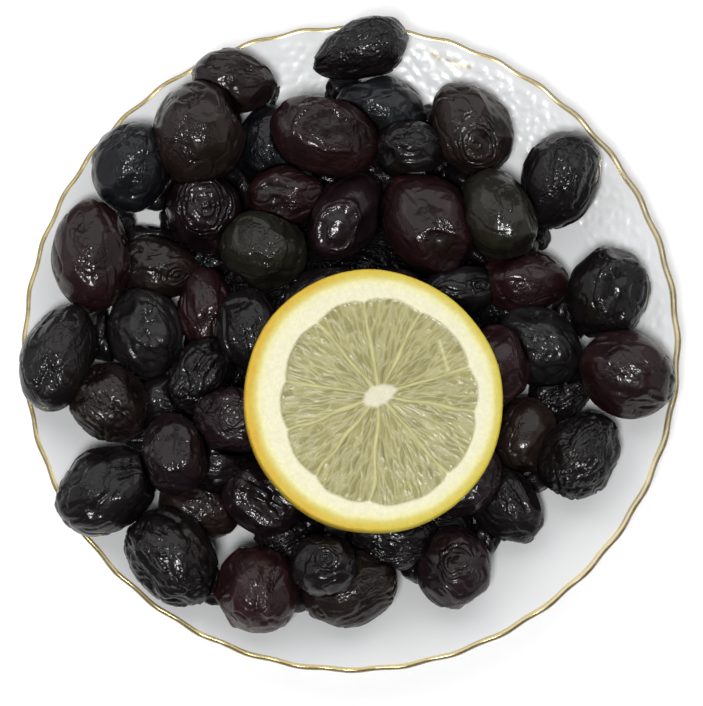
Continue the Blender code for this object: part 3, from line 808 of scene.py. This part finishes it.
# A wet skin: fine folds along stored lines, a net of wrinkles, pores and a thin film of oil
def oliveSkin(name, fold, net, gloss, wobble):
    look = Shader(name, Specular_IOR_Level=0.13, Coat_Weight=0.45, Coat_Roughness=0.10, Coat_IOR=1.46)
    place = look.attribute("skinPlace")
    phase, folded, _depth = look.split(look.attribute("skinFolds"))
    mottle = look.spread(look.noise(place, 0.3, 4), 0.35, 1.65)
    look.feed("Base Color", look.scaleColour(look.attribute("skinToneAndPaintedShade", "Color"), mottle))
    look.feed("Roughness", look.spread(look.noise(place, 0.5, 3), gloss - 0.06, gloss + 0.16))
    shifted = look.mathOf("MULTIPLY", look.noise(place, 0.55, 2), wobble)
    wave = look.mathOf("SINE", look.mathOf("ADD", phase, shifted), 0)
    wave = look.mathOf("MULTIPLY", wave, folded)
    coarse = look.bump(look.noise(place, 0.45, 2, 0.6), 0.25 * mm, 0.6)
    folding = look.bump(wave, fold, 1.0, coarse)
    warp = look.node("ShaderNodeVectorMath", operation="MULTIPLY_ADD")
    look.link(look.noiseColour(place, 0.45), warp.inputs[0])
    warp.inputs[1].default_value = (1.8, 1.8, 1.8)
    look.link(place, warp.inputs[2])
    web = look.node("ShaderNodeTexVoronoi", feature="DISTANCE_TO_EDGE", Scale=0.78)
    look.link(warp.outputs[0], web.inputs["Vector"])
    ridge = look.spread(web.outputs["Distance"], 1.0, 0.0, 0.0, 0.32)
    netting = look.bump(look.mathOf("MULTIPLY", ridge, folded), net, 1.0, folding)
    look.feed("Normal", look.bump(look.noise(place, 3.0, 3, 0.6), 0.04 * mm, 0.7, netting))
    look.feed("Coat Normal", look.bump(look.noise(place, 2.2, 2, 0.6), 0.03 * mm, 0.6, netting))
    return look.material


def makeOlives():
    heights = HeightMap()
    placed = [settle(heights, *row) for row in olives]
    print("olives placed:", len(placed))
    fine = roundedCube("oliveStart", skinFinish["cuts"])
    coarse = roundedCube("hiddenOliveStart", skinFinish["hiddenCuts"])
    groups = {}
    for number, olive in enumerate(placed):
        base = coarse if olive["skin"] == "hidden" else fine
        shaped = shapeOlive(base, olive, placed[number + 1:], number + 1)
        groups.setdefault(olive["skin"], []).append(shaped)
    for number, row in enumerate(fillers):
        filler = layFiller(*row)
        groups["hidden"].append(shapeOlive(coarse, filler, placed, 100 + number))
    skins = {
        "netted": oliveSkin("olive skin with a net of wrinkles", 0.05 * mm, 0.16 * mm, 0.32, 5),
        "crater": oliveSkin("olive skin with a hollow", 0.10 * mm, 0.07 * mm, 0.32, 5),
        "rimmed": oliveSkin("olive skin with a bright rim", 0.12 * mm, 0.05 * mm, 0.30, 5),
        "ringed": oliveSkin("olive skin with rings", 0.14 * mm, 0.05 * mm, 0.30, 6),
        "folded": oliveSkin("folded olive skin", 0.07 * mm, 0.09 * mm, 0.32, 4),
        "wrinkled": oliveSkin("wrinkled olive skin", 0.09 * mm, 0.11 * mm, 0.30, 6),
        "hidden": oliveSkin("olive skin in the shade", 0.06 * mm, 0.06 * mm, 0.34, 5),
    }
    for skin, members in groups.items():
        most = 99 if skin == "hidden" else skinFinish["mostInPiece"]
        for start in range(0, len(members), most):
            part = members[start:start + most]
            pick(*part)
            bpy.ops.object.join()
            joined = bpy.context.active_object
            joined.name = "olives" + skin.capitalize() + str(1 + start // most)
            finishPiece(joined, skins[skin], "olives")
            print(joined.name, "faces", len(joined.data.polygons))
    bpy.data.objects.remove(fine, do_unlink=True)
    bpy.data.objects.remove(coarse, do_unlink=True)
    return heights


# The dark mound under the olives in the middle: it stands for more olives beneath, and is painted darker
# than the black olives as the deep shade among them
def makeCore():
    rows = 24
    radius = heap["coreRadius"] * 0.93
    profile = [(radius * row / rows, 0) for row in range(rows + 1)]
    profile += [(radius * row / rows, 1) for row in reversed(range(rows))]
    core = spinProfile("olivesCore", profile, 90)
    places = coordinates(core.data)
    onTop = places[:, 2] > 0.5
    places[:, 0] += heap["coreCentre"][0]
    places[:, 1] += heap["coreCentre"][1]
    floor = dishRise(np.hypot(places[:, 0], places[:, 1])) + heap["gap"] + 0.1 * mm
    bumps = sample(places / (9 * mm), 5) * 1.6 * mm
    crown = np.maximum(coreRise(places[:, 0], places[:, 1]) - 2.5 * mm + bumps, floor + 0.8 * mm)
    places[:, 2] = np.where(onTop, crown, floor)
    setCoordinates(core.data, places)
    # Painted shade: the mound's colour is the black olives' tone darkened further
    storeColour(core.data, "skinToneAndPaintedShade", np.tile(skinFinish["black"], (len(places), 1)) * 0.7)
    storeVector(core.data, "skinPlace", places / mm)
    phase = sample(places / (6 * mm), 9) * 20
    storeVector(core.data, "skinFolds", columns(phase, np.ones(len(places)), places[:, 2] * 0))
    skin = oliveSkin("olive mass in the shade", 0.1 * mm, 0.1 * mm, 0.4, 5)
    finishPiece(core, skin, "olives")
    print("core: faces", len(core.data.polygons))


# The slice of lemon

lemon = {
    "across": 4.9,
    "up": -12.4,
    "radius": 30.9 * mm,
    "thickness": 6.2 * mm,
    "mostLean": 10,
    "edgeRound": 1.0 * mm,
    "edgeSteps": 16,
    "zest": 2.3 * mm,
    "flesh": (23.5 * mm, 24.3 * mm),
    "fleshMiddle": (1.35 * mm, -0.4 * mm),
    "heart": (1.35 * mm, 0.95 * mm),
    "heartSize": (3.7 * mm, 2.2 * mm),
    "heartAlong": (0.906, 0.42),
    "shift": (0.10 * mm, -0.28 * mm),
    "paleLine": ((15.5 * mm, 13.7 * mm), (17.4 * mm, 7.1 * mm)),
    "steps": 620,
    "quickSteps": 300,
    "membranes": (99, 130, 171, 202, 231, 266, 310, 350, 379, 424),   # degrees round the heart
}

lemonTones = {
    "pith": (0.705, 0.68, 0.48),
    "yellowPith": (0.70, 0.67, 0.35),      # beside the zest
    "heartPith": (0.62, 0.59, 0.44),
    "zest": (0.56, 0.455, 0.042),
    # Orange zest in random patches, and painted side shade: the zest is painted orange-brown most at the
    # left
    "orangeZestAndLeftShade": (0.57, 0.35, 0.018),     # mostly at the left
    "paleZest": (0.58, 0.50, 0.12),        # where the zest meets the pith
    "pulp": (0.34, 0.31, 0.115),
    "deepPulp": (0.185, 0.17, 0.062),
    "sacLine": (0.50, 0.47, 0.27),
    "membrane": (0.52, 0.49, 0.225),
}


def sliceProfile():
    half = lemon["thickness"] / 2
    edgeStart = lemon["radius"] - lemon["edgeRound"]
    rows = 76
    profile = [(edgeStart * row / rows, half) for row in range(rows + 1)]
    for step in range(1, lemon["edgeSteps"]):
        angle = math.pi / 2 - math.pi * step / lemon["edgeSteps"]
        out = edgeStart + lemon["edgeRound"] * math.cos(angle) ** 0.6
        profile.append((out, half * math.copysign(abs(math.sin(angle)) ** 0.6, math.sin(angle))))
    rows = 40
    profile += [(edgeStart * row / rows, -half) for row in reversed(range(rows + 1))]
    return profile


# What lies where on a cut face: distances and directions from the heart, the nearest membrane, the
# segment, and shares from 0 to 1 of pulp, of being off the membranes and of a juice sac's edge
def cutFace(places, side):
    marks = np.array(lemon["membranes"])
    heartX = places[:, 0] - lemon["heart"][0]
    heartY = places[:, 1] - lemon["heart"][1]
    fromHeart = np.hypot(heartX, heartY)
    way = np.degrees(np.arctan2(heartY, heartX))
    wander = 3.0 * sample(columns(fromHeart / (6 * mm), way / 40, side), 2)
    gaps = (way[:, None] + wander[:, None] - marks[None, :] + 180) % 360 - 180
    nearest = np.argmin(np.abs(gaps), axis=1)
    gap = np.take_along_axis(gaps, nearest[:, None], axis=1)[:, 0]
    offMembrane = np.abs(gap) * math.pi / 180 * fromHeart
    segment = np.where(gap > 0, nearest, nearest - 1) % len(marks)
    # Each segment bulges a little into the pith
    bulge = 0.045 * np.minimum(offMembrane / (5 * mm), 1) ** 0.6
    bulge += 0.012 * sample(columns(way / 9, way * 0, side), 20)
    pulpX = (places[:, 0] - lemon["fleshMiddle"][0]) / lemon["flesh"][0]
    pulpY = (places[:, 1] - lemon["fleshMiddle"][1]) / lemon["flesh"][1]
    fromPith = (1 + bulge - 0.028 - np.hypot(pulpX, pulpY)) * lemon["flesh"][0]
    # The heart is a slanting oval of pith
    slantX, slantY = lemon["heartAlong"]
    along = (heartX * slantX + heartY * slantY) / lemon["heartSize"][0]
    across = (-heartX * slantY + heartY * slantX) / lemon["heartSize"][1]
    heart = np.hypot(along, across) + 0.15 * sample(places / (2 * mm), 14)
    pulp = smoothStep(fromPith, 0, 0.6 * mm) * smoothStep(heart, 0.9, 1.25)
    thick = 0.75 + 0.45 * sample(columns(fromHeart / (4 * mm), nearest * 3.1, side), 12)
    off = smoothStep(offMembrane / thick, 0.05 * mm, 0.9 * mm)
    # Juice sacs: long cells that fan out from the middle of each segment
    nextMark = np.roll(marks, -1) + (np.arange(len(marks)) == len(marks) - 1) * 360
    segmentMiddle = ((marks + nextMark) / 2)[segment]
    fan = ((way - segmentMiddle + 180) % 360 - 180) * math.pi / 180
    slim = columns(fan * (5 * mm + 0.55 * fromHeart) / mm, fromHeart / (4.4 * mm), segment * 7.3 + side)
    slim[:, 0] += 0.55 * sample(slim * (0.5, 1.3, 1), 8)
    slim[:, 1] += 0.5 * sample(slim * 0.9, 10)
    near, second = cells(slim, 9)
    sacEdge = 1 - smoothStep(second - near, 0.02, 0.40)
    depth = pulp * off * (0.28 + 0.16 * sacEdge + 0.16 * sample(slim * (1.4, 2.0, 1), 16))
    depth += pulp * (1 - off) * 0.05
    return {
        "fromHeart": fromHeart, "way": way, "nearest": nearest, "segment": segment,
        "pulp": pulp, "off": off, "sacEdge": sacEdge, "depth": depth,
    }


def sliceColours(places, radius, turn, side, face):
    tones = {name: np.array(tone) for name, tone in lemonTones.items()}
    fromHeart = face["fromHeart"]
    thicker = 0.5 * mm * np.cos(np.radians(turn - 195))
    ragged = 0.3 * mm * sample(columns(turn / 9, turn * 0, side), 6)
    zestStart = lemon["radius"] - lemon["zest"] - thicker + ragged
    inZest = smoothStep(radius, zestStart - 1.1 * mm, zestStart + 0.3 * mm)[:, None]
    outerZest = smoothStep(radius, zestStart - 0.1 * mm, zestStart + 1.3 * mm)[:, None]
    nearZest = smoothStep(radius, zestStart - 2.6 * mm, zestStart - 0.4 * mm)[:, None]
    inHeart = (1 - smoothStep(fromHeart, 4 * mm, 6 * mm))[:, None]
    colour = blend(blend(tones["pith"], tones["yellowPith"], nearZest), tones["heartPith"], inHeart)
    # Painted shade at the left: the zest turns orange-brown towards the left side, on top of random orange
    # patches everywhere
    paintedShadeAtLeft = 0.35 + 0.5 * np.cos(np.radians(turn - 175))
    orange = np.clip(paintedShadeAtLeft + 0.5 * sample(places / (4 * mm), 17), 0, 1)[:, None]
    outer = blend(tones["zest"], tones["orangeZestAndLeftShade"], orange)
    colour = blend(colour, blend(tones["paleZest"], outer, outerZest), inZest)
    spots = columns(face["way"] * 0.13, fromHeart / (5 * mm), face["segment"] * 3.7 + side)
    clear = 0.5 + 0.5 * sample(spots, 15)[:, None]
    pulp = blend(tones["deepPulp"], tones["pulp"], clear)
    pulp = blend(pulp, tones["sacLine"], 0.45 * face["sacEdge"][:, None])
    patchy = 0.75 + 0.5 * sample(columns(fromHeart / (5 * mm), face["nearest"] * 5.7, side), 18)
    pulp = blend(pulp, tones["membrane"], np.clip((1 - face["off"]) * patchy, 0, 1)[:, None])
    # One pale line crosses a segment at the upper right
    away = distanceToLine(places[:, :2], *np.array(lemon["paleLine"]))
    onLine = (0.8 * (1 - smoothStep(away, 0.1 * mm, 0.6 * mm)) * (side > 0))[:, None]
    pulp = blend(pulp, tones["sacLine"] * 1.15, onLine)
    return blend(colour, pulp, face["pulp"][:, None])


def makeLemon(heights):
    centre, normal = restSlice(heights)
    piece = spinProfile("lemonSlice", sliceProfile(), lemon["steps"])
    places = coordinates(piece.data)
    radius = np.hypot(places[:, 0], places[:, 1])
    turn = np.degrees(np.arctan2(places[:, 1], places[:, 0]))
    side = np.sign(places[:, 2])
    onFace = np.abs(places[:, 2]) > lemon["thickness"] / 2 - 0.01 * mm
    face = cutFace(places, side)
    pores = cells(places / (1.5 * mm), 3)[0]
    sideShare = smoothStep(radius, lemon["radius"] - 1.15 * mm, lemon["radius"] - 0.5 * mm)
    dimple = sideShare * 0.10 * (1 - smoothStep(pores, 0.1, 0.45)) * mm
    ring = columns(np.cos(np.radians(turn)) * 2.4, np.sin(np.radians(turn)) * 2.4, turn * 0)
    uneven = 1 + 0.012 * np.cos(np.radians(2 * (turn - 107))) + 0.014 * sample(ring, 5)
    places[:, 2] -= side * face["depth"] * mm * onFace
    places[:, :2] *= (uneven * (1 - dimple / np.maximum(radius, 1 * mm)))[:, None] * 0.99
    storeColour(piece.data, "lemonColour", sliceColours(places, radius, turn, side, face))
    wet = (face["pulp"] * face["off"])[:, None]
    storeColour(piece.data, "lemonWet", np.repeat(wet, 3, axis=1))
    storeVector(piece.data, "lemonPlace", places / mm)
    upright = Vector((0, 0, 1)).rotation_difference(normal).to_matrix()
    places = places @ np.array(upright).T + np.array(centre) + (*lemon["shift"], 0)
    setCoordinates(piece.data, places)
    finishPiece(piece, lemonLook(), "lemon_slice")
    print("lemon: faces", len(piece.data.polygons))


def lemonLook():
    look = Shader("cut lemon", Subsurface_Weight=0.18, Subsurface_Scale=1.2 * mm, Specular_IOR_Level=0.45)
    look.main.inputs["Subsurface Radius"].default_value = (1.0, 0.8, 0.3)
    place = look.attribute("lemonPlace")
    mottle = look.spread(look.noise(place, 1.1, 3), 0.86, 1.12)
    look.feed("Base Color", look.scaleColour(look.attribute("lemonColour", "Color"), mottle))
    look.feed("Roughness", look.spread(look.attribute("lemonWet", "Fac"), 0.55, 0.16))
    soft = look.bump(look.noise(place, 2.2, 3), 0.12 * mm, 0.8)
    look.feed("Normal", look.bump(look.noise(place, 5.5, 1), 0.05 * mm, 0.8, soft))
    return look.material


# Camera, light and floor

light = {   # places and sizes in metres, powers in watts
    "north": {"place": (0.0, 0.62, 0.84), "size": (1.6, 1.0), "power": 6.8},
    "west": {"place": (-0.85, 0.20, 0.50), "size": (1.3, 0.8), "power": 2.2},
    "east": {"place": (0.85, 0.20, 0.50), "size": (1.3, 0.8), "power": 1.8},
    "front": {"place": (-0.05, -0.22, 0.72), "size": (0.14, 0.14), "power": 4.0},
    "world": 0.09,
    "floorWhite": (0.96, 0.96, 0.96, 1),
}


def makeStage():
    eye, middle, pictureUp = sightFrame()
    camera = bpy.data.objects.new("camera", bpy.data.cameras.new("camera"))
    bpy.context.scene.collection.objects.link(camera)
    camera.location = eye
    aim = middle - pictureUp * view["drop"]
    camera.rotation_euler = (aim - eye).to_track_quat("-Z", "Y").to_euler()
    camera.data.sensor_width = view["sensor"]
    camera.data.lens = view["sensor"] * view["distance"] / (view["longSidePixels"] * view["mmPerPixel"] * mm)
    camera.data.clip_start = 0.01
    bpy.context.scene.camera = camera
    for name in ("north", "west", "east", "front"):
        lamp = bpy.data.lights.new(name, "AREA")
        lamp.shape = "RECTANGLE"
        lamp.size, lamp.size_y = light[name]["size"]
        lamp.energy = light[name]["power"]
        thing = bpy.data.objects.new(name, lamp)
        bpy.context.scene.collection.objects.link(thing)
        thing.location = light[name]["place"]
        thing.rotation_euler = (-Vector(light[name]["place"])).to_track_quat("-Z", "Y").to_euler()
    world = bpy.data.worlds.new("studio")
    bpy.context.scene.world = world
    world.use_nodes = True
    world.node_tree.nodes["Background"].inputs["Color"].default_value = (1, 1, 1, 1)
    world.node_tree.nodes["Background"].inputs["Strength"].default_value = light["world"]
    bpy.context.scene.view_settings.view_transform = "Standard"
    deselectAll()
    bpy.ops.mesh.primitive_plane_add(size=3)
    floor = bpy.context.active_object
    floor.name = "floor"
    white = Shader("pale floor", Roughness=0.8)
    white.main.inputs["Base Color"].default_value = light["floorWhite"]
    floor.data.materials.append(white.material)
    print("stage: camera, lamps and floor")


makeStage()
makeDish()
heights = makeOlives()
makeCore()
makeLemon(heights)
